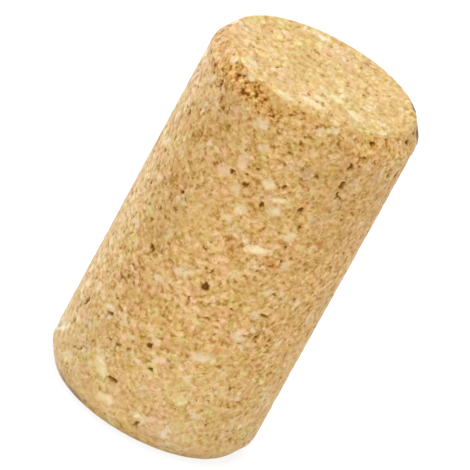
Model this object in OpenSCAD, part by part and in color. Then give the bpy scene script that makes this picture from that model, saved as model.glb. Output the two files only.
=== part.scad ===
// Agglomerated cork stopper: a straight cylinder ground from pressed cork
// granules, with a chamfer at both ends, so that either end goes in first.
// It stands on its lower end, which lies at z = 0 with its middle at the origin.

/* [Body] */
// Diameter of the straight wall
cork_d = 22; // [18:0.5:30]
// Height from one end face to the other
cork_h = 38.4; // [24:0.2:60]

/* [Chamfers] */
// How far a chamfer goes in from the wall
chamfer_in = 1.1; // [0.7:0.1:2]
// How far a chamfer goes along the wall
chamfer_up = 1.8; // [1:0.1:3]
// Radius that softens both edges of a chamfer
edge_r = 0.4; // [0.1:0.05:0.6]

/* [Voids] */
// Usual width of a void, where granules don't meet
void_w = 0.5; // [0.3:0.05:0.8]
// How far the middle of a void lies under the surface
void_sink = 0.08; // [0:0.01:0.15]
// Number of voids that lie by chance round the back of the wall
back_voids = 30; // [0:1:45]
// Number of voids that lie by chance in the lower end face
foot_voids = 9; // [0:1:16]
// Seed of the voids that lie by chance
void_seed = 11; // [1:1:60]

/* [Chip] */
// Angle of the lost granules round the wall
chip_angle = 188; // [0:1:359]
// Height of their middle above the lower end
chip_z = 3.1; // [2:0.1:20]
// Length of the hollow that they leave
chip_length = 5; // [2:0.1:6]
// Width of the hollow
chip_w = 0.95; // [0.6:0.05:1.6]
// Depth of the hollow
chip_deep = 0.6; // [0.2:0.05:0.8]
// How far the hollow leans from upright, towards growing angles
chip_lean = 66; // [0:1:180]

/* [Hidden] */
// Sides of the circles in a mesh of the body, and of its small hollows
$fn = 96;
hollow_fn = 24;

cork_r = cork_d / 2;
flat_r = cork_r - chamfer_in;
cork_tan = [0.83, 0.67, 0.44];

// Voids of the face side, as they lie round the wall. Each row holds the
// angle, the height as a share of the body's, the length and the width as
// multiples of void_w, and the lean from upright, towards growing angles.
face_voids = [
    [222, 0.93, 2.0, 1.1, 0],
    [210, 0.80, 1.4, 1.0, 10],
    [253, 0.77, 1.2, 0.9, 30],
    [262, 0.76, 1.4, 0.9, 60],
    [234, 0.64, 1.2, 1.0, 40],
    [234, 0.47, 2.0, 1.0, -55],
    [269, 0.47, 1.8, 1.4, 0],
    [274, 0.735, 1.2, 1.0, 0],
    [293, 0.765, 1.3, 1.0, 20],
    [297, 0.715, 1.0, 0.9, 0],
    [307, 0.86, 1.9, 1.0, 5],
    [314, 0.98, 1.0, 0.9, 0],
    [346, 0.978, 2.4, 1.1, 90],
    [358, 0.985, 2.6, 1.2, 90],
    [10, 0.985, 2.2, 1.0, 90],
    [306, 0.915, 1.5, 0.9, 10],
    [292, 0.86, 1.2, 0.8, 60],
    [306, 0.395, 2.0, 0.7, 20],
    [314, 0.39, 1.2, 0.9, 0],
    [303, 0.455, 1.2, 0.8, 70],
    [285, 0.365, 1.0, 0.8, 45],
    [265, 0.415, 1.8, 0.7, -15],
    [277, 0.395, 2.0, 0.6, 90],
    [259, 0.255, 1.2, 1.1, 0],
    [265, 0.20, 1.1, 0.9, 60],
    [250, 0.12, 2.4, 0.9, 85],
    [244, 0.205, 1.6, 0.8, 60],
    [230, 0.255, 2.0, 0.7, 85],
    [210, 0.22, 2.4, 0.8, 15],
    [272, 0.053, 1.5, 0.9, 15]
];

// Voids of the upper end face: angle, share of the flat's radius, length,
// width and turn, in the same units.
head_voids = [
    [178, 0.71, 1.4, 0.8, 80],
    [252, 0.34, 1.1, 0.7, 20],
    [28, 0.62, 1.3, 0.8, 130],
    [95, 0.50, 1.2, 0.7, 60]
];

// A turn of this angle from each chance void to the next never lines them up.
golden_turn = 137.508;
// Where the back of the wall starts and how far round it goes
back_from = -35;
back_span = 240;
// Lowest and highest chance void, as shares of the height
back_reach = [0.07, 0.94];
// Share of the flat's radius that chance voids keep within
foot_reach = 0.9;
// Least and most of a chance void's length and width, in void widths
chance_length = [0.9, 2.2];
chance_width = [0.7, 1.2];
// A hollow whose straight part would be shorter than this is a plain sphere
least_straight = 0.02;
chance = rands(0, 1, 3 * max(back_voids, foot_voids, 1), void_seed);

// A value as far between the two of a range as the share says
function between(range, share) = range[0] + (range[1] - range[0]) * share;

// Length, width and lean of a chance void
function chance_size(i) = [
    between(chance_length, chance[3 * i]),
    between(chance_width, chance[3 * i + 1]),
    180 * chance[3 * i + 2]
];

// Radius of the surface at a height, along the wall or down a chamfer
function skin_r(z) =
    let (end = min(z, cork_h - z))
    end >= chamfer_up ? cork_r : flat_r + chamfer_in * end / chamfer_up;

// Point at which the arc of edge_r meets the side from corner to far
function tangent_point(corner, far, other) =
    let (
        a = (far - corner) / norm(far - corner),
        b = (other - corner) / norm(other - corner),
        half = acos(a * b) / 2
    )
    corner + a * edge_r / tan(half);

// Middle of the arc of edge_r that softens a corner between two sides
function arc_middle(corner, far, other) =
    let (
        a = (far - corner) / norm(far - corner),
        b = (other - corner) / norm(other - corner),
        half = acos(a * b) / 2
    )
    corner + (a + b) / norm(a + b) * edge_r / sin(half);

// Half section of the body, from the axis out to the wall
module half_section() {
    // The straight outline: axis, lower face, lower chamfer, wall, and so on up
    outline = [
        [0, 0],
        [flat_r, 0],
        [cork_r, chamfer_up],
        [cork_r, cork_h - chamfer_up],
        [flat_r, cork_h],
        [0, cork_h]
    ];
    corners = [for (i = [1 : len(outline) - 2]) i];
    polygon([
        outline[0],
        for (i = corners) each [
            tangent_point(outline[i], outline[i - 1], outline[i + 1]),
            tangent_point(outline[i], outline[i + 1], outline[i - 1])
        ],
        outline[len(outline) - 1]
    ]);
    for (i = corners)
        translate(arc_middle(outline[i], outline[i - 1], outline[i + 1]))
            circle(r = edge_r);
}

// A round-ended hollow along X, or a plain sphere where it is hardly longer
// than wide. Z points out of the surface.
module hollow(length, width) {
    $fn = hollow_fn;
    straight = length - width;
    if (straight > least_straight) {
        rotate([0, 90, 0]) {
            cylinder(h = straight, d = width, center = true);
            for (end = [-1, 1])
                translate([0, 0, end * straight / 2]) sphere(d = width);
        }
    } else {
        sphere(d = width);
    }
}

// Puts its children in the wall, with their X upright before they lean and
// their Z pointing outwards, at a radius and a height
module in_wall(angle, r, z, lean) {
    rotate([0, 0, angle])
        translate([r, 0, z])
            rotate([0, 90, 0])
                rotate([0, 0, -lean])
                    children();
}

// A void in the wall or a chamfer
module wall_void(angle, share, length, width, lean) {
    z = share * cork_h;
    in_wall(angle, skin_r(z) - void_sink, z, lean)
        hollow(length * void_w, width * void_w);
}

// A void in the upper end face, sunk towards the middle of the body
module end_void(angle, share, length, width, turn) {
    rotate([0, 0, angle])
        translate([share * flat_r, 0, -void_sink])
            rotate([0, 0, turn])
                hollow(length * void_w, width * void_w);
}

// The hollow of the lost granules, low on the wall
module chip() {
    in_wall(chip_angle, cork_r - chip_deep + chip_w / 2, chip_z, chip_lean)
        hollow(chip_length, chip_w);
}

// The chance voids round the back, spread evenly up the height
module back_of_wall() {
    for (i = [0 : back_voids - 1]) {
        size = chance_size(i);
        wall_void(
            back_from + (i * golden_turn) % back_span,
            between(back_reach, (i + 0.5) / back_voids),
            size[0], size[1], size[2]
        );
    }
}

// The chance voids of the lower end face, spread evenly over its area
module foot_face() {
    mirror([0, 0, 1])
        for (i = [0 : foot_voids - 1]) {
            size = chance_size(i);
            end_void(
                i * golden_turn,
                foot_reach * sqrt((i + 0.5) / foot_voids),
                size[0], size[1], size[2]
            );
        }
}

// The voids of the upper end face
module head_face() {
    translate([0, 0, cork_h])
        for (v = head_voids)
            end_void(v[0], v[1], v[2], v[3], v[4]);
}

module stopper() {
    color(cork_tan)
        difference() {
            rotate_extrude() half_section();
            chip();
            for (v = face_voids)
                wall_void(v[0], v[1], v[2], v[3], v[4]);
            head_face();
            if (back_voids > 0) back_of_wall();
            if (foot_voids > 0) foot_face();
        }
}

stopper();
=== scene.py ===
import math

import bpy
import numpy as np
from mathutils import Euler, Matrix, Vector, noise
from mathutils.bvhtree import BVHTree


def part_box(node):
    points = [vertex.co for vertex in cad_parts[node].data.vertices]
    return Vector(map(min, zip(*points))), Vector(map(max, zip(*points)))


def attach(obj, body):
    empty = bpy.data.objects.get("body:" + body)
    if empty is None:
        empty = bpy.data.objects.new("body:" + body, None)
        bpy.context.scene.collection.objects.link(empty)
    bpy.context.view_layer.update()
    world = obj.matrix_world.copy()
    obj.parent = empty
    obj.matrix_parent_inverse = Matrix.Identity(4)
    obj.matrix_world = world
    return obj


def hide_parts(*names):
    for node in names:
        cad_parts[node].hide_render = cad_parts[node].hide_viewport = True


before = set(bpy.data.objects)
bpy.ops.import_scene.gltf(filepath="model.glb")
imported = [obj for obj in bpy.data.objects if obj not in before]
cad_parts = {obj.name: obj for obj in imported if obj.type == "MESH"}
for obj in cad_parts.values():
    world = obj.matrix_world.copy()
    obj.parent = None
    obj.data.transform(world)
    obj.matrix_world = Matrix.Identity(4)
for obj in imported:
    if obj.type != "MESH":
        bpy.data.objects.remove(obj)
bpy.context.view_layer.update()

# ---------------------------------------------------------------------------
# The stopper: a plug of pressed cork granules, cut from a rod, ground straight
# and chamfered at both ends, with nothing fixed to it. Its mesh is rings of
# points on the ground surface, sunk where the solid has a void or the chip.
# ---------------------------------------------------------------------------
MM = 0.001
CHAMFER_IN = 1.1 * MM
CHAMFER_UP = 1.8 * MM
EDGE_R = 0.4 * MM
ARC_POINTS = 9
PITCH = 0.2 * MM  # between neighbouring points of the mesh
ROW_STEP = PITCH * math.sqrt(3) / 2
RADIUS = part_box("stopper")[1].x
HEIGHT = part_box("stopper")[1].z


def softened(before, corner, after):
    """The arc that rounds a corner of the half section, as points and normals."""
    a = (before - corner).normalized()
    b = (after - corner).normalized()
    half = a.angle(b) / 2
    middle = corner + (a + b).normalized() * EDGE_R / math.sin(half)
    first = corner + a * EDGE_R / math.tan(half) - middle
    last = corner + b * EDGE_R / math.tan(half) - middle
    start = math.atan2(first.y, first.x)
    turn = math.atan2(last.y, last.x) - start
    angles = [start + turn * i / (ARC_POINTS - 1) for i in range(ARC_POINTS)]
    normals = [Vector((math.cos(t), math.sin(t))) for t in angles]
    return [middle + n * EDGE_R for n in normals], normals


def half_section():
    """Radius and height, and the normals, from the foot's centre to the head's."""
    flat = RADIUS - CHAMFER_IN
    outline = [
        Vector((0, 0)),
        Vector((flat, 0)),
        Vector((RADIUS, CHAMFER_UP)),
        Vector((RADIUS, HEIGHT - CHAMFER_UP)),
        Vector((flat, HEIGHT)),
        Vector((0, HEIGHT)),
    ]
    points = [outline[0]]
    normals = [Vector((0, -1))]
    for before, corner, after in zip(outline, outline[1:], outline[2:]):
        arc, arc_normals = softened(before, corner, after)
        points += arc
        normals += arc_normals
    points.append(outline[-1])
    normals.append(Vector((0, 1)))
    return np.array(points), np.array(normals)


def ring_stations():
    """Even stops along the half section: radius, height, normal and way gone."""
    points, normals = half_section()
    way = np.concatenate([[0], np.cumsum(np.hypot(*np.diff(points, axis=0).T))])
    stops = np.linspace(0, way[-1], round(way[-1] / ROW_STEP) + 1)
    columns = [np.interp(stops, way, c) for c in (*points.T, *normals.T)]
    return *columns, stops


def rings():
    """Points, normals, angles and ways of all rings, and where each ring starts."""
    place, normal, angle, way, starts = [], [], [], [], [0]
    for row, (r, z, nr, nz, s) in enumerate(zip(*ring_stations())):
        count = max(round(2 * math.pi * r / PITCH), 1)
        half_step = 0.5 * (row % 2)
        turn = (np.arange(count) + half_step) * 2 * math.pi / count
        ring = np.stack([np.cos(turn), np.sin(turn), np.ones(count)], axis=1)
        place.append(ring * (r, r, z))
        normal.append(ring * (nr, nr, nz))
        angle.append(turn)
        way.append(np.full(count, s))
        starts.append(starts[-1] + count)
    return *(np.concatenate(x) for x in (place, normal, angle, way)), starts


def stitched(angle, starts):
    """Triangles between each ring and the next, by the order of their angles."""
    faces = []
    for a, b, c in zip(starts, starts[1:], starts[2:]):
        below, above = b - a, c - b
        order = np.argsort(angle[a:c], kind="stable")
        is_below = order < below
        i = np.cumsum(is_below) - 1
        j = np.cumsum(~is_below) - 1
        if below > 1:
            i_up, j_up = i[is_below], j[is_below]
            base = a + (i_up - 1) % below, a + i_up % below
            faces.append(np.stack([*base, b + j_up % above], 1))
        if above > 1:
            i_down, j_down = i[~is_below], j[~is_below]
            base = b + j_down % above, b + (j_down - 1) % above
            faces.append(np.stack([a + i_down % below, *base], 1))
    return np.concatenate(faces)


place, normal, angle, way, starts = rings()
faces = stitched(angle, starts)
mesh = bpy.data.meshes.new("stopper_surface")
mesh.vertices.add(len(place))
mesh.vertices.foreach_set("co", place.ravel())
mesh.loops.add(faces.size)
mesh.loops.foreach_set("vertex_index", faces.ravel())
mesh.polygons.add(len(faces))
mesh.polygons.foreach_set("loop_start", np.arange(0, faces.size, 3))
mesh.polygons.foreach_set("use_smooth", np.ones(len(faces), bool))
mesh.update(calc_edges=True)
mesh.validate()
stopper = bpy.data.objects.new("stopper_cork", mesh)
bpy.context.collection.objects.link(stopper)

# The voids and the chip are open holes in the solid, where granules were left
# out or lost. A probe through each point finds how deep the solid lies there.
PROBE_REACH = 1.0 * MM  # how far outside the surface a probe starts
LEAST_HOLLOW = 0.03 * MM  # below this a probe only found the solid's facets
TEAR = 0.15 * MM  # how far a hollow's rim strays from the clean cut
TEAR_PITCH = 0.35 * MM
TEAR_SEED = 4  # any number but 0, which would draw a new rim each time


def hollow_depths(place, normal):
    """How deep the solid lies under each point, with the hollows' rims torn."""
    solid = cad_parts["stopper"].data
    solid.calc_loop_triangles()
    corners = [v.co for v in solid.vertices]
    triangles = [t.vertices for t in solid.loop_triangles]
    tree = BVHTree.FromPolygons(corners, triangles)
    depth = np.zeros(len(place))
    for k, (p, n) in enumerate(zip(place, normal)):
        outward = Vector(n)
        torn = noise.noise_vector(Vector(p) / TEAR_PITCH) * TEAR
        hit = tree.ray_cast(Vector(p) + torn + outward * PROBE_REACH, -outward)
        depth[k] = (hit[3] or PROBE_REACH) - PROBE_REACH - torn.dot(outward)
    return np.where(depth > LEAST_HOLLOW, depth, 0)


noise.seed_set(TEAR_SEED)
hollow = hollow_depths(place, normal)
mesh.attributes.new("hollow", "FLOAT", "POINT").data.foreach_set("value", hollow)

# The flat layout of the surface, for the finish: the wall and chamfers unrolled
# as one strip, and the two end faces as discs above it.
SHEET = 2 * math.pi * RADIUS * 1.012  # one turn of the wall, with room to spare
MARGIN = 0.3 * MM
disc_reach = RADIUS - CHAMFER_IN - EDGE_R / 2
wall_from = disc_reach
wall_to = way[-1] - disc_reach
corner_angle = angle[faces]
over_seam = (np.ptp(corner_angle, axis=1) > math.pi)[:, None] & (corner_angle < math.pi)
corner_angle = np.where(over_seam, corner_angle + 2 * math.pi, corner_angle)
corner_way = way[faces]
corner_place = place[faces]
strip = np.stack([corner_angle * RADIUS, corner_way - wall_from], axis=2) + MARGIN * 2
disc_row = wall_to - wall_from + disc_reach + 6 * MARGIN
foot_disc = corner_place[:, :, :2] + (disc_reach + 2 * MARGIN, disc_row)
head_disc = corner_place[:, :, :2] + (3 * disc_reach + 6 * MARGIN, disc_row)
in_foot = (corner_way <= wall_from).all(axis=1)[:, None, None]
in_head = (corner_way >= wall_to).all(axis=1)[:, None, None]
layout = np.where(in_foot, foot_disc, np.where(in_head, head_disc, strip)) / SHEET
mesh.uv_layers.new(name="OFBake").uv.foreach_set("vector", layout.ravel())

# ---------------------------------------------------------------------------
# The cork's grain. Granules of two sizes are pressed together with a little
# binder, each with its own tint and its own run of growth lines. The same
# fields shape the surface and colour it: each pit is also painted dark, as
# painted shade in it.
# ---------------------------------------------------------------------------


class Wire:
    """A node's output. Python's operators on it add Math nodes to its tree."""

    def __init__(self, tree, socket=None):
        self.tree = tree
        self.socket = socket

    def node(self, kind, settings=None, inputs=None, output=0):
        """Adds a node, sets it, feeds its sockets and returns one of its outputs."""
        made = self.tree.nodes.new(kind)
        for name, value in (settings or {}).items():
            if name == "stops":
                ramp = made.color_ramp.elements
                while len(ramp) < len(value):
                    ramp.new(0.5)
                for stop, (at, colour) in zip(ramp, value):
                    stop.position = at
                    stop.color = colour
            else:
                setattr(made, name, value)
        for name, value in (inputs or {}).items():
            if isinstance(value, Wire):
                self.tree.links.new(value.socket, made.inputs[name])
            else:
                made.inputs[name].default_value = value
        return None if output is None else Wire(self.tree, made.outputs[output])

    def other(self, output):
        """Another output of the same node."""
        return Wire(self.tree, self.socket.node.outputs[output])

    def part(self, letter):
        """One coordinate of this vector; other() gives the rest."""
        return self.node("ShaderNodeSeparateXYZ", None, {0: self}, letter)

    def math(self, operation, *others):
        values = dict(enumerate((self, *others)))
        return self.node("ShaderNodeMath", {"operation": operation}, values)

    def vector(self, operation, *others, output=0):
        values = dict(enumerate((self, *others)))
        return self.node("ShaderNodeVectorMath", {"operation": operation}, values, output)

    def noise(self, scale, detail=2.0, output="Fac"):
        inputs = {"Vector": self, "Scale": scale, "Detail": detail}
        return self.node("ShaderNodeTexNoise", None, inputs, output)

    def mixed(self, other, share, blend="MIX"):
        """This colour with another over it, or blended in."""
        settings = {"data_type": "RGBA", "blend_type": blend}
        return self.node("ShaderNodeMix", settings, {0: share, 6: self, 7: other}, 2)

    def rises(self, low, high, top=1.0):
        """0 below low, rising smoothly to top above high."""
        settings = {"interpolation_type": "SMOOTHSTEP"}
        values = {"Value": self, "From Min": low, "From Max": high, "To Max": top}
        return self.node("ShaderNodeMapRange", settings, values)

    def falls(self, low, high):
        """1 below low, falling smoothly to 0 above high."""
        return 1 - self.rises(low, high)

    def reach(self, middle, turn, size):
        """How far places lie from the middle of an ellipsoid: 1 is its surface."""
        values = {"Vector": self, "Location": middle, "Rotation": turn, "Scale": size}
        local = self.node("ShaderNodeMapping", {"vector_type": "TEXTURE"}, values)
        return local.vector("LENGTH", output="Value")

    def __add__(self, other):
        return self.math("ADD", other)

    __radd__ = __add__

    def __mul__(self, other):
        return self.math("MULTIPLY", other)

    __rmul__ = __mul__

    def __sub__(self, other):
        return self.math("SUBTRACT", other)

    def __rsub__(self, other):
        values = {0: other, 1: self}
        return self.node("ShaderNodeMath", {"operation": "SUBTRACT"}, values)


COARSE = 1.2  # usual distance between the middles of coarse granules, in mm
FINE = 0.56  # the same for the fines that fill some of their places
PRESSED = 1.12  # how much flatter than wide the granules lie
DRAWN = 0.4  # on the cut ends granules are 1 / (1 - DRAWN) times as long along Y
BEND, BEND_SCALE = 0.55, 1.1  # how far granules bend out of their straight form
FRAY, FRAY_SCALE = 0.14, 3.5  # how far their edges fray
FINES_SHARE = 0.55  # share of coarse places filled with fines
END_LAYER = 0.05, 0.2  # what counts as an end face: its last 0.05 to 0.2 mm
CRUMBLED = (234, 25), (312, 10)  # worn stretches of the top chamfer: middle, half spread
CRUMB_RING = 35.6, 36.9  # heights at which the crumbling sets in
CRUMB_REACH = 9.3, 9.9  # and distances from the axis
CRUMBS_ALL_ROUND = 0.12
CRUMBS_IN_STRETCH = 0.7


class Grain:
    """The granules' fields at a place given in mm, in a node tree of either kind.

    Noise scales count rounds per mm. The pairs given to rises() and falls() are
    where a field sets in and where it is full.
    """

    def __init__(self, place):
        half = HEIGHT / MM / 2
        up = place.part("Z") - half
        inner, outer = END_LAYER
        self.flat = up.math("ABSOLUTE").rises(half - outer, half - inner)
        drawn = {0: 1, 1: 1 - self.flat * DRAWN, 2: PRESSED}
        squeeze = place.node("ShaderNodeCombineXYZ", None, drawn)
        self.pressed = place.vector("MULTIPLY", squeeze)
        bent = self.strayed(self.pressed, self.pressed, BEND_SCALE, BEND)
        self.place = self.strayed(bent, self.pressed, FRAY_SCALE, FRAY)
        coarse = self.cells(COARSE)
        fine = self.cells(FINE)
        patch = coarse.part("X")
        self.filled = patch.rises(1 - FINES_SHARE - 0.01, 1 - FINES_SHARE + 0.01)
        self.hue = patch.other("Y")
        self.draws = coarse.mixed(fine, self.filled)
        self.tint = self.draws.part("X")
        self.own = self.tint.other("Y")
        self.step = self.tint.other("Z")
        fine_seam = self.edge(FINE) + (1 - self.filled)
        self.seam = self.edge(COARSE).math("MINIMUM", fine_seam)
        self.crumbs = self.crumbled(place)
        clumps = self.pressed.noise(0.6).rises(0.42, 0.6) * 0.75 + 0.25
        at_seam = self.seam.falls(0.02, 0.12)
        self.gap = self.pressed.noise(1.6).rises(0.56, 0.76) * at_seam * clumps
        dots = self.pressed.noise(1.9, 1.0) + self.crumbs * 0.06
        dotted = (self.filled * 0.5 + 0.5) * (clumps * 0.7 + 0.3)
        self.pepper = dots.rises(0.55, 0.76) * dotted.math("MAXIMUM", self.crumbs)

    def crumbled(self, place):
        """How far the top chamfer is crumbled, most in its two worn stretches."""
        height = place.part("Z") + (place.noise(0.9) - 0.5) * 2.4
        outwards = place.vector("MULTIPLY", (1, 1, 0))
        radius = outwards.vector("LENGTH", output="Value")
        radius = radius + (place.noise(1.3) - 0.5) * 2.0
        ring = height.rises(*CRUMB_RING) * radius.rises(*CRUMB_REACH)
        worn = CRUMBS_ALL_ROUND
        for azimuth, spread in CRUMBLED:
            a = math.radians(azimuth)
            towards = math.cos(a), math.sin(a), 0
            along = outwards.vector("DOT_PRODUCT", towards, output="Value")
            edge = RADIUS / MM * math.cos(math.radians(spread))
            worn = worn + along.rises(edge - 0.5, edge + 0.5, CRUMBS_IN_STRETCH)
        return ring * worn

    def strayed(self, start, place, scale, reach):
        """The places moved about a little, each way, by up to about half the reach."""
        stray = place.noise(scale, output="Color")
        stray = stray.vector("SUBTRACT", (0.5, 0.5, 0.5))
        return stray.vector("MULTIPLY_ADD", (reach, reach, reach), start)

    def cells(self, size):
        """Three numbers for each granule, the same all over it."""
        inputs = {"Vector": self.place, "Scale": 1 / size}
        return self.place.node("ShaderNodeTexVoronoi", None, inputs, "Color")

    def edge(self, size):
        """Distance to the edge of the granule, in mm."""
        settings = {"feature": "DISTANCE_TO_EDGE"}
        inputs = {"Vector": self.place, "Scale": 1 / size}
        return self.place.node("ShaderNodeTexVoronoi", settings, inputs, "Distance") * size


# The relief that the grinding left is sunk into the mesh. Each point keeps its
# place on the ground surface, and that place frayed, for the marks and finish.
SEAM_DEEP = 0.03 * MM  # groove between two granules
GAP_DEEP = 0.09 * MM  # pit where granules don't meet
PIT_DEEP = 0.16 * MM  # pit inside a granule
STEP_DEEP = 0.02 * MM  # how far the lowest granule lies under the highest
CRUMB_DEEP = 0.12 * MM  # pits where the chamfer has crumbled
WAVE_DEEP = 0.055 * MM  # slow unevenness of the ground wall
END_CALM = 0.8  # how much less of all this the cut end faces have
MARK_FRAY, MARK_FRAY_SCALE = 0.6, 1.6  # how the edges of single granules fray, in mm
PER_METRE = 1000, 1000, 1000  # turns metres into mm

relief = bpy.data.node_groups.new("cork_relief", "GeometryNodeTree")
for way_through in ("INPUT", "OUTPUT"):
    relief.interface.new_socket(
        "Geometry", in_out=way_through, socket_type="NodeSocketGeometry"
    )
carving = Wire(relief)
as_field = {"data_type": "FLOAT_VECTOR", "domain": "POINT"}
position = carving.node("GeometryNodeInputPosition")
keep = {"Geometry": carving.node("NodeGroupInput"), "Name": "ground", "Value": position}
kept = carving.node("GeometryNodeStoreNamedAttribute", as_field, keep)
position_mm = position.vector("MULTIPLY", PER_METRE)
pressed_in = Grain(position_mm)
strayed_mm = pressed_in.strayed(position_mm, position_mm, MARK_FRAY_SCALE, MARK_FRAY)
keep = {"Geometry": kept, "Name": "frayed", "Value": strayed_mm}
kept = carving.node("GeometryNodeStoreNamedAttribute", as_field, keep)

sunk = pressed_in.gap * GAP_DEEP
sunk = sunk + pressed_in.seam.falls(0.0, 0.08) * SEAM_DEEP
sunk = sunk + pressed_in.step * STEP_DEEP
sunk = sunk + pressed_in.pepper * PIT_DEEP
sunk = sunk + position_mm.noise(0.9, 1.0).rises(0.45, 0.75) * WAVE_DEEP
sunk = sunk * (1 - pressed_in.flat * END_CALM)
sunk = sunk + carving.node(
    "GeometryNodeInputNamedAttribute", {"data_type": "FLOAT"}, {"Name": "hollow"}
)
sunk = sunk + pressed_in.crumbs * pressed_in.pepper * CRUMB_DEEP
loose = position_mm.noise(1.5, 1.0).rises(0.45, 0.65)
sunk = sunk + pressed_in.crumbs * loose * CRUMB_DEEP
outward = carving.node("GeometryNodeInputNormal")
inward = outward.node(
    "ShaderNodeVectorMath", {"operation": "SCALE"}, {0: outward, "Scale": sunk * -1}
)
moved = carving.node(
    "GeometryNodeSetPosition", None, {"Geometry": kept, "Offset": inward}
)
carving.node("NodeGroupOutput", None, {0: moved}, None)
stopper.modifiers.new("relief", "NODES").node_group = relief
evaluated = stopper.evaluated_get(bpy.context.evaluated_depsgraph_get())
shaped = bpy.data.meshes.new_from_object(evaluated)
shaped.name = "stopper_surface"
stopper.modifiers.clear()
stopper.data = shaped

# ---------------------------------------------------------------------------
# Granules and stains that stand out, and painted light and shade. Pale and brown
# granules of cork were cut through by the grinding, grouped here by colour with
# the share that shows. Some rows paint light and shade: the pale wash and, in
# part, the pale granules down the left side are painted light; the dark rim on
# the top chamfer's right edge, the grey rim low on the left, in part the umber
# granules down the right edge, and the broad faint patches are painted shade.
# A row is one of them: the angle round the stopper and the height, its length
# and width, and its lean from upright towards growing angles, in degrees and mm.
# ---------------------------------------------------------------------------


def paint(red, green, blue):
    """A colour as it looks, 0 to 255, for a socket."""
    looks = [v / 255 for v in (red, green, blue)]
    linear = (v / 12.92 if v <= 0.04045 else ((v + 0.055) / 1.055) ** 2.4 for v in looks)
    return *linear, 1.0


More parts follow.
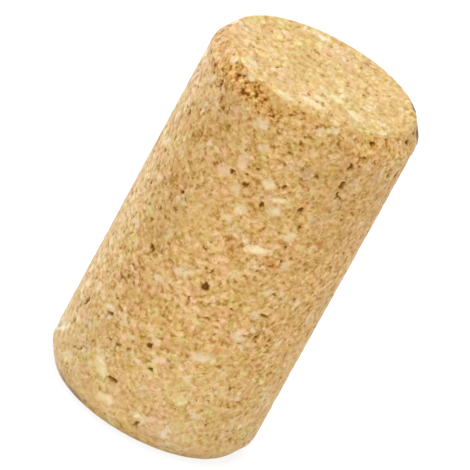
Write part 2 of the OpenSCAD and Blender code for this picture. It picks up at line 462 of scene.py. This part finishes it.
CREAM = paint(240, 228, 186)
GREY = paint(219, 206, 174)
ROSE = paint(226, 190, 164)
BRICK = paint(186, 98, 50)
AMBER = paint(206, 138, 54)
# This colour is painted shade: the dark line along the right edge of the top chamfer, which the
# light overhead misses.
PAINTED_RIM_SHADE = paint(78, 44, 6)
# This colour is painted shadow: a grey-violet rim low on the left, where the foot meets the board.
FOOT_EDGE_SHADOW = paint(140, 108, 100)
OLIVE = paint(178, 148, 88)
# This colour is painted shade, with some darker cork: broad faint patches that darken the wall.
PAINTED_SHADE = paint(150, 112, 62)
UMBER = paint(160, 112, 52)
# This colour is painted light: a faint pale wash for the bright left edge that the lamp from behind
# left gives.
PAINTED_EDGE_LIGHT = paint(242, 218, 178)
MARKED = [
    (CREAM, 0.5, [(283, 23.8, 2.6, 0.95, 77)]),
    (CREAM, 0.3, [(241, 5, 2.8, 1.3, 125), (252, 2.6, 2.4, 1.1, 80)]),
    (CREAM, 0.4, [(280, 29.4, 2, 0.7, 80), (284, 8.7, 1, 0.9, 0), (327, 4.9, 0.8, 0.6, 90)]),
    (CREAM, 0.4, [(234, 38.1, 1.4, 1, 90), (217, 37.9, 1.2, 1, 90), (289, 37.8, 2, 0.7, 60)]),
    (GREY, 0.42, [(255, 35.3, 2, 1, 80), (272, 30.5, 1.5, 1.1, 90), (281, 28.2, 1.6, 1.1, 90)]),
    (GREY, 0.42, [(266, 26.7, 1.4, 1.1, 20), (295, 26.3, 1.5, 1.1, 70), (255, 18.1, 2.2, 1.1, 70)]),
    (GREY, 0.45, [(285, 11.3, 2.6, 0.9, 65), (246, 16.1, 1.5, 0.8, 80), (296, 14.7, 1.6, 1.1, 90)]),
    (ROSE, 0.4, [(256, 31, 2, 1.3, 10), (249.5, 29.3, 1.8, 1.3, 60), (268, 9, 1.8, 0.9, 90)]),
    (BRICK, 0.4, [(313, 26.2, 1.4, 0.6, 90), (294, 22.8, 1.6, 0.6, 118)]),
    (BRICK, 0.4, [(289, 12.6, 1.1, 0.7, 90)]),
    (AMBER, 0.4, [(292.5, 29.7, 1.3, 1.1, 0), (297, 34.2, 1.5, 0.7, 60), (270, 28.2, 1, 0.7, 120)]),
    # Painted shadow: a grey-violet rim along the foot's edge, low on the left, where it meets the
    # board.
    (FOOT_EDGE_SHADOW, 0.7, [(232, 0.3, 3.2, 0.8, 90), (219, 0.4, 1.8, 0.6, 90), (202, 1.2, 1, 0.5, 60)]),
    (OLIVE, 0.6, [(346, 37.6, 3, 1.8, 90), (357, 37.9, 2.8, 1.8, 90)]),
    # Painted shade: a dark line and blots along the right edge of the top chamfer, which the light
    # overhead misses.
    (PAINTED_RIM_SHADE, 1, [(9.5, 37.2, 2, 3, 0), (2, 36, 1.5, 2.1, 0), (22, 38.3, 2.6, 0.8, 90)]),
    # Pale granules on the left side, at 180 to 220 degrees round: paler cork, and in part painted
    # light for the bright left edge.
    (CREAM, 0.34, [(218, 2.9, 1.6, 1.2, 60), (215, 23.6, 1.3, 1, 90), (199, 28.9, 1.5, 1, 30)]),
    (CREAM, 0.4, [(184, 35, 2.2, 1.5, 20), (181, 34.4, 1.4, 1.2, 90), (194, 10.4, 1.4, 1, 40)]),
    # The umber granules at 346 to 355 degrees, down the right edge: darker cork, and in part
    # painted shade there.
    (UMBER, 0.45, [(186, 31.8, 1.6, 1.4, 0), (188, 25, 1.4, 1.4, 0), (355, 34.9, 1.6, 2, 0)]),
    (UMBER, 0.45, [(346, 33.4, 1.5, 1.4, 30), (347, 29.3, 1.6, 1.4, 80), (347, 18.6, 1.4, 1.3, 0)]),
    (GREY, 0.3, [(299, 20, 1.4, 1, 60), (298, 17.2, 1.2, 0.9, 110), (300, 23.2, 1.2, 0.9, 80)]),
    (GREY, 0.3, [(261, 33.4, 1.3, 0.9, 70), (259, 28.3, 1.2, 1, 20), (262, 25.3, 1.1, 0.9, 90)]),
    # From here to the pale wash, pale granules down the left side: paler cork, and in part painted
    # light for its bright edge.
    (CREAM, 0.36, [(201, 9.4, 1.5, 0.9, 60), (197, 8.3, 1.4, 1, 110), (203, 7.9, 1, 0.8, 20)]),
    (CREAM, 0.28, [(220, 10.5, 1.1, 0.9, 90), (207, 15.6, 1.1, 0.8, 20)]),
    (CREAM, 0.28, [(202, 14.6, 1.3, 0.8, 80)]),
    (CREAM, 0.36, [(219, 14.6, 1.1, 1, 0), (214, 10.6, 1.2, 0.9, 40), (198, 11.9, 1.3, 0.9, 100)]),
    (CREAM, 0.28, [(194, 26.6, 1.4, 1, 70), (199, 26.1, 1.2, 0.9, 120), (190, 35.4, 1.6, 1, 80)]),
    (CREAM, 0.24, [(195, 20.6, 1.3, 0.9, 30), (199, 19.2, 1.1, 0.9, 100)]),
    (CREAM, 0.24, [(196, 34.8, 1.4, 0.9, 60)]),
    (CREAM, 0.24, [(201, 33.2, 1.2, 0.9, 80), (203, 22.4, 1.3, 0.8, 60), (206, 18.6, 1, 0.8, 20)]),
    (CREAM, 0.36, [(191, 3.8, 1.6, 1, 90), (205, 4.7, 1.2, 0.9, 40), (210, 6.4, 1.1, 0.8, 110)]),
    (GREY, 0.38, [(213, 35, 1.1, 1, 0), (220, 27.3, 1.1, 0.9, 60), (217, 18.4, 1.2, 0.9, 30)]),
    # Painted light: a faint pale wash down the left side, for its bright edge.
    (PAINTED_EDGE_LIGHT, 0.1, [(203, 18, 19, 5.4, 0), (201, 33, 7, 4.4, 0)]),
    (UMBER, 0.45, [(311, 34.4, 1.1, 1, 0), (286, 33.1, 1.3, 1, 70), (300, 33.6, 1.2, 1, 90)]),
    (UMBER, 0.4, [(268, 5.3, 1.3, 0.9, 90), (289, 12.1, 1, 0.9, 60), (275, 29.5, 1, 1.2, 0)]),
    (UMBER, 0.4, [(273, 11.4, 1, 1.2, 0), (245, 25.3, 1.1, 1, 90), (275, 10, 1, 1, 0)]),
    (UMBER, 0.4, [(235, 20.2, 1.2, 1.1, 40), (305, 30, 1.1, 1.2, 80), (286, 8.7, 0.9, 1, 0)]),
    (UMBER, 0.4, [(284, 27.3, 1.2, 1, 0), (302, 28.6, 1.2, 1, 0), (276, 14, 1, 0.9, 0)]),
    # Painted shade, with some darker cork: broad faint patches that darken the wall on the right
    # and on the left.
    (PAINTED_SHADE, 0.14, [(344, 31.5, 8, 4, 0), (343, 19, 7, 4, 0), (318, 31, 11, 8, 0)]),
    (PAINTED_SHADE, 0.14, [(296, 32.5, 5, 8, 0), (239, 33.5, 5.5, 5, 0), (230, 22, 9, 6, 0)]),
]
MARK_DEEP = 0.8  # the most that a mark reaches in from the surface, in mm
# The same on the head: angle, reach from the middle, length and width.
HEAD_MARKED = [(257, 9.3, 2.4, 1.6), (272, 7.5, 2.8, 1.7), (300, 4.2, 1.7, 1.8), (310, 7, 1.7, 2.1)]
HEAD_SHARE = 0.36
HEAD_MARK_DEEP = 0.5
MARK_EDGE, MARK_EDGE_WIDTH = 0.5, 0.75  # where a mark begins to fade, 1 being its surface


def skin(height):
    """Radius of the surface at a height in mm, on the wall or down a chamfer."""
    down = (CHAMFER_UP - min(height * MM, HEIGHT - height * MM)) / CHAMFER_UP
    return (RADIUS - CHAMFER_IN * max(0, down)) / MM


def frayed_places():
    """The mesh's points in mm, strayed a little so that marks get frayed edges."""
    values = np.empty(len(shaped.vertices) * 3)
    shaped.attributes["frayed"].data.foreach_get("vector", values)
    return values.reshape(-1, 3)


def within(middle, turn, size):
    """1 at points inside an ellipsoid, falling to 0 past its surface."""
    local = (frayed - middle) @ np.array(Euler(turn).to_matrix()) / size
    reach = np.linalg.norm(local, axis=1, keepdims=True)
    past = np.clip((reach - MARK_EDGE) / MARK_EDGE_WIDTH, 0, 1)
    return 1 - past * past * (3 - 2 * past)


def all_marks():
    """Colour, share and cover at each point, of every mark on wall and head."""
    for colour, share, rows in MARKED:
        for azimuth, height, length, width, lean in rows:
            a = math.radians(azimuth)
            middle = (skin(height) * math.cos(a), skin(height) * math.sin(a), height)
            size = (min(width / 2, MARK_DEEP), width / 2, length / 2)
            yield colour, share, within(middle, (-math.radians(lean), 0, a), size)
    for azimuth, reach, length, width in HEAD_MARKED:
        a = math.radians(azimuth)
        middle = (reach * math.cos(a), reach * math.sin(a), HEIGHT / MM)
        size = (width / 2, length / 2, HEAD_MARK_DEEP)
        yield CREAM, HEAD_SHARE, within(middle, (0, 0, a), size)


frayed = frayed_places()
marked = np.zeros((len(frayed), 1))  # how far marks cover each point
# The marks' colour: real stains and granules, and the painted light and shade among them.
stain = np.zeros((len(frayed), 3))  # their colour there, as much of it as they cover
pale = np.zeros((len(frayed), 1))  # how far the point lies in a pale granule
for colour, share, inside in all_marks():
    stain += (np.array(colour[:3]) - stain) * inside * share
    marked += (1 - marked) * inside * share
    if colour in (CREAM, GREY, ROSE):
        pale = np.maximum(pale, inside)
for name, kind, field, values in (
    ("marked", "FLOAT", "value", marked),
    ("stain", "FLOAT_VECTOR", "vector", stain),
    ("pale", "FLOAT", "value", pale),
):
    shaped.attributes.new(name, kind, "POINT").data.foreach_set(field, values.ravel())

# ---------------------------------------------------------------------------
# The ground finish: bare cork, as the grinding left it. It is dull with a faint
# sheen, and a little greyer low down. Its pits and hollows are painted dark, as
# painted shade in them. Where the chip came off it is painted near white: clean
# cork with a painted highlight.
# ---------------------------------------------------------------------------
cork = bpy.data.materials.new("ground_cork")
cork.use_nodes = True
cork.node_tree.nodes.clear()
finish = Wire(cork.node_tree)


def kept_field(name, output):
    """A field that the mesh keeps at its points, as the finish reads it."""
    return finish.node("ShaderNodeAttribute", {"attribute_name": name}, {}, output)


ground_mm = kept_field("ground", "Vector")
ground_mm = ground_mm.vector("MULTIPLY", PER_METRE)
grain = Grain(ground_mm)
hollow_depth = kept_field("hollow", "Fac")
cover = kept_field("marked", "Fac")
stain_light_shade_colour = kept_field("stain", "Vector")
pitted = 1 - kept_field("pale", "Fac")  # a pale granule has no pits of its own

# Growth lines run through each granule its own way. Mottle and cloud are
# unevenness at the size of a granule and of several.
FULL_TURN = 6.28, 6.28, 6.28
LINES_CLOSE = 1, 1, 2.6  # how much closer than long the lines lie
own_way = {"Vector": grain.pressed, "Rotation": grain.draws.vector("MULTIPLY", FULL_TURN)}
own_way = finish.node("ShaderNodeVectorRotate", {"rotation_type": "EULER_XYZ"}, own_way)
lines = own_way.vector("MULTIPLY", LINES_CLOSE).noise(1.3, 1.2)
mottle = grain.pressed.noise(1.95, 1.2)
cloud = ground_mm.noise(0.5)

# Tone runs from 0, the darkest cork, to 1, the palest.
USUAL_TONE = 0.424
TINT_SWING, TINT_SWING_END = 0.15, 0.08  # between granules, and more on end faces
CLOUD_SWING, CLOUD_SWING_END = 0.07, 0.1
LINES_SWING, MOTTLE_SWING = 0.5, 0.76
# Painted shade: pits, gaps between granules and seams are painted darker, as the shade that falls
# in them.
PIT_SHADOW_PAINT, GAP_SHADOW_PAINT, SEAM_SHADOW_PAINT = 0.27, 0.12, 0.05
HOLLOW_SHADOW_PAINT = 0.42
HOLLOW_FULL = 0.34 * MM  # how deep a hollow is where it is darkest
CRUMBS_DARK = 0.04
# The end faces are painted paler: the cut cork's own paler tone, and in part painted light for the
# head lit from overhead.
END_PALE_AND_LIT = 0.113  # how much paler the cut end faces are
LOW_WALL = 16.0  # how far up the wall is calmer and greyer, in mm
LOW_CALM = 0.3
rough = grain.step.rises(0.0, 0.7) * 0.36 + 0.52 + grain.crumbs * 0.9 + grain.flat * 0.05
tone = (grain.tint - 0.5) * (grain.flat * TINT_SWING_END + TINT_SWING)
tone = tone + (cloud - 0.5) * (grain.flat * CLOUD_SWING_END + CLOUD_SWING)
tone = tone + ((lines - 0.5) * LINES_SWING + (mottle - 0.5) * MOTTLE_SWING) * rough
# Painted shade in the pits, gaps and seams.
painted_pit_shade = grain.pepper * (PIT_SHADOW_PAINT - grain.crumbs * 0.04 - grain.flat * 0.02)
painted_pit_shade = painted_pit_shade + grain.gap * (GAP_SHADOW_PAINT - grain.flat * 0.06)
painted_pit_shade = painted_pit_shade + grain.seam.falls(0.0, 0.1) * cloud.rises(0.4, 0.6) * SEAM_SHADOW_PAINT
# Painted shade in the voids and the chip: the deeper the hollow, the darker its colour.
deep = hollow_depth.rises(0.0, HOLLOW_FULL) * (mottle.rises(0.38, 0.6) * 0.45 + 0.6)
low = ground_mm.part("Z").falls(0.0, LOW_WALL)
tone = (tone - painted_pit_shade * pitted) * (1 - low * LOW_CALM)
tone = tone - grain.crumbs * CRUMBS_DARK - deep * HOLLOW_SHADOW_PAINT
tone = tone + grain.flat * END_PALE_AND_LIT + USUAL_TONE
tones = [
    (0.00, paint(102, 60, 18)),
    (0.20, paint(154, 109, 42)),
    (0.35, paint(188, 148, 86)),
    (0.50, paint(206, 169, 115)),
    (0.65, paint(219, 184, 133)),
    (0.80, paint(233, 203, 156)),
    (1.00, paint(248, 234, 200)),
]
tint = finish.node("ShaderNodeValToRGB", {"stops": tones}, {"Fac": tone})


def cast(red, green, blue):
    """What turns the usual colour of the cork into another, and its tones with it."""
    usual_cork = paint(206, 168, 112)
    return *(new / usual for new, usual in zip(paint(red, green, blue), usual_cork)),


# Casts of single granules, of the crumbled chamfer, of the end faces, of the low
# wall, and of a slow drift over the whole stopper.
more = grain.flat * 0.1 + 1
drift = ground_mm.noise(0.25).rises(0.5, 0.75, 0.3)
for colour, share in (
    (cast(212, 170, 136), grain.hue.rises(0.6, 0.95, 0.33) * more),
    (cast(210, 182, 142), grain.hue.falls(0.04, 0.35) * more * 0.7),
    (cast(209, 157, 94), grain.own.rises(0.7, 0.96, grain.filled * 0.36 + 0.26)),
    (cast(206, 174, 94), grain.own.falls(0.0, 0.4) * more * 0.6),
    (cast(212, 154, 78), grain.crumbs * 0.6),
    (cast(206, 170, 107), grain.flat),
    (cast(205, 174, 123), low),
    (cast(209, 170, 133), drift),
):
    tint = tint.mixed(colour, share, "MULTIPLY")

# Marks lie over all this, but the painted shade in pits and hollows shows through the faint ones.
clear = (painted_pit_shade * pitted + deep * 0.3).falls(0.03, 0.12)
clear = clear.math("MAXIMUM", cover.rises(0.75, 0.95))
under = tint.mixed(paint(0, 0, 0), cover * clear)
tint = stain_light_shade_colour.vector("MULTIPLY_ADD", clear, under)

# The chip: low on the wall a sliver of granules came off. Its inside is painted
# near white: clean cork, with a painted highlight where light falls into the notch.
CHIP_AZIMUTH, CHIP_UP, CHIP_LEAN = 188, 3.1, 66  # degrees, mm and degrees
CHIP_SIZE = 0.9, 0.62, 3.6  # half of what is clean, in mm: inwards, across and along
a = math.radians(CHIP_AZIMUTH)
chip = RADIUS / MM * math.cos(a), RADIUS / MM * math.sin(a), CHIP_UP
chip_pale_glare = ground_mm.reach(chip, (-math.radians(CHIP_LEAN), 0, a), CHIP_SIZE)
chip_pale_glare = chip_pale_glare.falls(MARK_EDGE, MARK_EDGE + MARK_EDGE_WIDTH)
coloured = tint.mixed(paint(240, 224, 188), chip_pale_glare * (mottle * 0.6 + 0.54))

bump_height = lines * 0.4 + grain.seam.rises(0.0, 0.1) * 0.6
bump_height = bump_height * (1 - grain.flat * 0.75)
fine_bump = {"Strength": 0.15, "Distance": 0.03 * MM, "Height": bump_height}
bare_cork = {
    "Base Color": coloured,
    "Roughness": 0.75,
    "Specular IOR Level": 0.08,
    "Sheen Weight": 0.2,
    "Sheen Roughness": 0.35,
    "Normal": finish.node("ShaderNodeBump", None, fine_bump),
}
shader = finish.node("ShaderNodeBsdfPrincipled", None, bare_cork)
finish.node("ShaderNodeOutputMaterial", None, {"Surface": shader}, None)
stopper.data.materials.clear()
stopper.data.materials.append(cork)
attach(stopper, "root")
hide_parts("stopper")

# ---------------------------------------------------------------------------
# The table top: a plain pale board. It takes the stopper's shadow, and seen by
# the eye or in gloss it is white.
# ---------------------------------------------------------------------------
BOARD = 3  # metres across
BOARD_PALE = 0.8, 0.8, 0.8, 1  # how it looks to the stopper
BOARD_SHADED = 0.2, 0.2, 0.2, 1  # how much of it takes shadow where it is seen
BOARD_GLOW = 0.84  # the rest of its white there
bpy.ops.mesh.primitive_plane_add(size=BOARD)
floor = bpy.context.object
floor.name = "floor"
white = bpy.data.materials.new("white_table")
white.use_nodes = True
white.node_tree.nodes.clear()
board = Wire(white.node_tree)
path = board.node("ShaderNodeLightPath")
seen = path.other("Is Camera Ray") + path.other("Is Glossy Ray")
seen = (seen + path.other("Is Transmission Ray")).math("MINIMUM", 1.0)
plain = board.node("ShaderNodeBsdfDiffuse", None, {"Color": BOARD_PALE})
shaded = board.node("ShaderNodeBsdfDiffuse", None, {"Color": BOARD_SHADED})
white_glow = {"Color": (1, 1, 1, 1), "Strength": BOARD_GLOW}
glow = board.node("ShaderNodeEmission", None, white_glow)
shown = board.node("ShaderNodeAddShader", None, {0: shaded, 1: glow})
surface = board.node("ShaderNodeMixShader", None, {0: seen, 1: plain, 2: shown})
board.node("ShaderNodeOutputMaterial", None, {"Surface": surface}, None)
floor.data.materials.append(white)

# ---------------------------------------------------------------------------
# The light: a white room and five soft boxes. One in front, one overhead and one
# at each side shape the stopper, and a small one low in front stands for the
# light that a white board throws back up at it.
# ---------------------------------------------------------------------------
ROOM = 0.5  # strength of the white all round
world = bpy.data.worlds.new("studio")
bpy.context.scene.world = world
world.use_nodes = True
room = world.node_tree.nodes["Background"]
room.inputs["Color"].default_value = (1, 1, 1, 1)
room.inputs["Strength"].default_value = ROOM


def softbox(name, power, size, azimuth, elevation, distance, colour=(1, 1, 1)):
    """A lamp aimed at the stopper's middle: watts, metres, and degrees from the front."""
    lamp = bpy.data.lights.new(name, "AREA")
    lamp.shape = "RECTANGLE"
    lamp.size, lamp.size_y = size
    lamp.energy = power
    lamp.color = colour
    held = bpy.data.objects.new(name, lamp)
    bpy.context.collection.objects.link(held)
    a, e = math.radians(azimuth), math.radians(elevation)
    way_out = Vector((math.sin(a) * math.cos(e), -math.cos(a) * math.cos(e), math.sin(e)))
    held.location = Vector((0, 0, HEIGHT / 2)) + way_out * distance
    held.rotation_euler = way_out.to_track_quat("Z", "Y").to_euler()
    held.visible_camera = False


softbox("front", 2.2, (0.6, 0.12), 7, 4, 0.8)
softbox("table_glow", 0.013, (0.12, 0.012), -4, -17, 0.06, (0.92, 1, 1.12))
softbox("top", 6.2, (0.5, 0.5), 0, 88, 1.0)
softbox("left", 5.5, (0.4, 0.4), -127, 17, 0.8, (0.9, 1, 1.22))
softbox("right", 1.8, (0.4, 0.08), 120, 3, 0.8, (1, 0.94, 0.78))

# ---------------------------------------------------------------------------
# The camera: a long lens in front of the stopper, a little above it, rolled so
# that the upright stopper leans in the frame.
# ---------------------------------------------------------------------------
CAMERA_FAR = 0.866
LENS = 692.6
SENSOR = 36
SEES_TO = 10
LOOKS_DOWN = 23.4
PICTURE_ROLL = 28.72
PIXEL = 0.0958 * MM  # what a pixel of the frame covers at the stopper
OFF_RIGHT = 0.5 * PIXEL
OFF_UP = 2.6 * PIXEL
camera = bpy.data.cameras.new("camera")
camera.lens = LENS
camera.sensor_width = SENSOR
camera.clip_end = SEES_TO
eye = bpy.data.objects.new("camera", camera)
bpy.context.collection.objects.link(eye)
tilt = math.radians(LOOKS_DOWN)
back = Vector((0, -math.cos(tilt), math.sin(tilt)))
level = back.to_track_quat("Z", "Y").to_matrix().to_4x4()
turned = level @ Matrix.Rotation(math.radians(PICTURE_ROLL), 4, "Z")
offset = turned.to_3x3() @ Vector((OFF_RIGHT, OFF_UP, 0))
aim = Vector((0, 0, HEIGHT / 2))
eye.matrix_world = Matrix.Translation(aim + back * CAMERA_FAR + offset) @ turned
bpy.context.scene.camera = eye
bpy.context.scene.view_settings.view_transform = "Standard"
